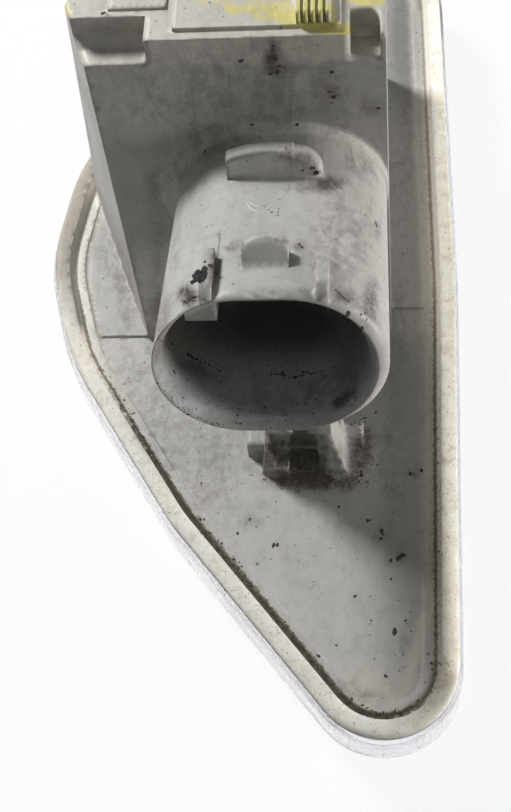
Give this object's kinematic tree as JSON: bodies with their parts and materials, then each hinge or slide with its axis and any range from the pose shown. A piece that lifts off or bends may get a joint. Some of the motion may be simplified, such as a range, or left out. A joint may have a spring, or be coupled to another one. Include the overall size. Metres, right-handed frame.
{
  "type": "side repeater lamp",
  "caption": "Leaf-shaped side repeater lamp seen from the rear: rimmed flange, deep hollow box, tilted plug socket with nibs, broken clip, clear lens, reflector and amber bulb.",
  "frame": {"origin": "centre of the lamp's footprint, on the surface that its lens lies on", "axes": "+Z rearwards, away from the lens; +Y along the lamp, from its narrow tip towards its round end; +X to the right, seen from the rear with the tip near"},
  "size_m": [0.0446, 0.1012, 0.0544],
  "materials": {
    "housing": "satin warm grey moulded plastic, dusty",
    "lens": "clear polished plastic",
    "reflector": "metallised plastic",
    "holder": "heat-resistant plastic",
    "contact": "tinned",
    "bulb_glass": "amber glass",
    "filament": "coiled wire",
    "lead": "plain wire"
  },
  "bodies": {
    "root": {"housing": "housing", "lens": "lens", "reflector": "reflector", "bulb_holder": "holder", "contact_left": "contact", "contact_right": "contact", "bulb_glass": "bulb_glass", "bulb_filament": "filament", "bulb_lead_left": "lead", "bulb_lead_right": "lead"}
  },
  "joints": []
}
